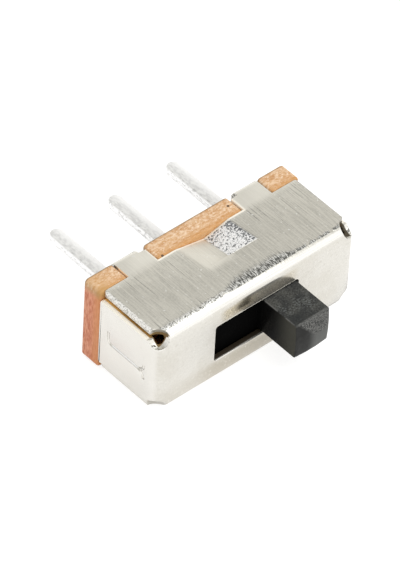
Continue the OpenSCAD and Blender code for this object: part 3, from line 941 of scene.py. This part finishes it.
def bronze_finish():
    material, tree, shader, place = new_finish("sprung bronze")
    lines = noise(tree, stretch(tree, place, (0.8, 18, 18)))
    tarnish = noise(tree, place, 2.0, 3.0)
    tone = mix(tree, ramp(tree, tarnish, 0.35, 0.7), BRONZE, TARNISHED)
    link(tree, tone, shader.inputs["Base Color"])
    shader.inputs["Metallic"].default_value = 1.0
    link(tree, ramp(tree, lines, 0.3, 0.7, 0.22, 0.36), shader.inputs["Roughness"])
    return material


bronze = bronze_finish()
print(bronze.name, len(bronze.node_tree.nodes), "nodes")

# %% [markdown]
# Each softened piece takes its finish. The clip is not copied: its CAD node is
# shown as it is, in bronze.

# %% Put each finish on its pieces
def cover(piece, material):
    piece.data.materials.clear()
    piece.data.materials.append(material)


def dress(piece, material):
    cover(piece, material)


dress(sheet, nickel)
dress(board, laminate)
dress(moulding, black)
for pin in pins:
    dress(pin, tin)
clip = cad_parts["moving_contact"]
cover(clip, bronze)
print("dressed", [o.name for o in (sheet, board, moulding, *pins, clip)])

# %% [markdown]
# ## The studio
#
# The switch lies on a white sweep. The front and the end flap mirror it, so the
# floor must look white to glossy rays as well. A floor that only glows could do
# that, but the diffuse part keeps a faint shadow where the switch touches it.

# %% Floor
FLOOR_SIZE = 0.6
FLOOR_GREY = (0.5, 0.5, 0.5, 1)
GLOW_SEEN, GLOW_MIRRORED = 0.72, 0.60

bpy.ops.object.select_all(action="DESELECT")
bpy.ops.mesh.primitive_plane_add(size=FLOOR_SIZE, location=(0, 0, cad_box[0].z))
floor = bpy.context.object
floor.name = "studio_floor"
floor_finish = bpy.data.materials.new("white sweep")
floor_finish.use_nodes = True
tree = floor_finish.node_tree
tree.nodes.remove(tree.nodes["Principled BSDF"])
diffuse = tree.nodes.new("ShaderNodeBsdfDiffuse")
diffuse.inputs["Color"].default_value = FLOOR_GREY
glow = tree.nodes.new("ShaderNodeEmission")
rays = tree.nodes.new("ShaderNodeLightPath").outputs
seen = times(tree, largest(tree, rays["Is Camera Ray"], rays["Is Transmission Ray"]), GLOW_SEEN)
mirrored = times(tree, rays["Is Glossy Ray"], GLOW_MIRRORED)
link(tree, plus(tree, seen, mirrored), glow.inputs["Strength"])
both = tree.nodes.new("ShaderNodeAddShader")
tree.links.new(diffuse.outputs["BSDF"], both.inputs[0])
tree.links.new(glow.outputs["Emission"], both.inputs[1])
tree.links.new(both.outputs["Shader"], tree.nodes["Material Output"].inputs["Surface"])
floor.data.materials.append(floor_finish)
print("floor at", round(floor.location.z / MM, 3), "mm")

# %% [markdown]
# The sky stands for the soft light around the switch. Lamps alone could light it,
# but a metal shows what it mirrors, and a smooth sky leaves no lamp shapes on the
# sheet. It is greyer overhead for the long wall, and white to the camera.

# %% Sky
SKY_BLACK, SKY_BEHIND, SKY_FRONT = (0, 0, 0, 1), (1.0, 0.99, 0.955, 1), (1.3, 1.3, 1.29, 1)
LOW_SKY, HIGH_SKY = 0.92, 0.66

world = bpy.data.worlds.new("soft sky")
bpy.context.scene.world = world
world.use_nodes = True
tree = world.node_tree
direction = tree.nodes.new("ShaderNodeTexCoord").outputs["Generated"]
_, toward_y, height = split(tree, direction)
to_front = ramp(tree, toward_y, 0.05, -0.35)
behind = mix(tree, ramp(tree, height, 0.25, 0.75, LOW_SKY, HIGH_SKY), SKY_BLACK, SKY_BEHIND)
in_front = mix(tree, to_front, SKY_BLACK, SKY_FRONT)
sky = mix(tree, to_front, behind, in_front)
rays = tree.nodes.new("ShaderNodeLightPath").outputs
shown = mix(tree, rays["Is Camera Ray"], sky, WHITE)
link(tree, shown, tree.nodes["Background"].inputs["Color"])
print("sky:", world.name)

# %% [markdown]
# One area light from above, in front and to the right gives the lever a lighter
# side. A sun could do it with a hard shadow; a large, weak area light keeps it soft.

# %% Key light
KEY_PLACE, KEY_AIM = Vector((0.03, -0.05, 0.13)), Vector((0, -0.002, 0))
KEY_SIZE, KEY_WATTS = 0.08, 0.04

bpy.ops.object.light_add(type="AREA", location=KEY_PLACE)
key = bpy.context.object
key.name = "soft_key"
key.data.size = KEY_SIZE
key.data.energy = KEY_WATTS
key.rotation_euler = (KEY_AIM - key.location).to_track_quat("-Z", "Y").to_euler()
print("key light", key.data.energy, "W")

# %% [markdown]
# ## The camera
#
# A long lens looks from the front left, down at about 45 degrees, with the picture
# turned by a few degrees. The view could be set by eye, but it was fitted to the
# edges in the photograph, so that the two pictures can be laid over each other.

# %% Camera
IMAGE_LONG_SIDE = 570
FOCAL_PIXELS = 5888
SENSOR_MM = 36
azimuth, elevation, roll = (math.radians(a) for a in (-43.743, 44.847, 3.426))
aim = Vector((0, -2, 0))
distance = 191.70
shift_right, shift_up = 0.744, -0.228

back = Vector((
    math.sin(azimuth) * math.cos(elevation),
    -math.cos(azimuth) * math.cos(elevation),
    math.sin(elevation),
))
right = Vector((0, 0, 1)).cross(back).normalized()
up = back.cross(right)
right, up = (
    right * math.cos(roll) + up * math.sin(roll),
    up * math.cos(roll) - right * math.sin(roll),
)
bpy.ops.object.camera_add()
camera = bpy.context.object
camera_place = (aim + back * distance - right * shift_right - up * shift_up) * MM
turn = Matrix((right, up, back)).transposed().to_4x4()
camera.matrix_world = Matrix.Translation(camera_place) @ turn
camera.data.sensor_width = SENSOR_MM
camera.data.lens = FOCAL_PIXELS / IMAGE_LONG_SIDE * SENSOR_MM
camera.data.clip_start = 0.01
camera.data.clip_end = 2
bpy.context.scene.camera = camera
bpy.context.scene.view_settings.view_transform = "Standard"
print("lens", round(camera.data.lens), "mm at", round(distance), "mm")
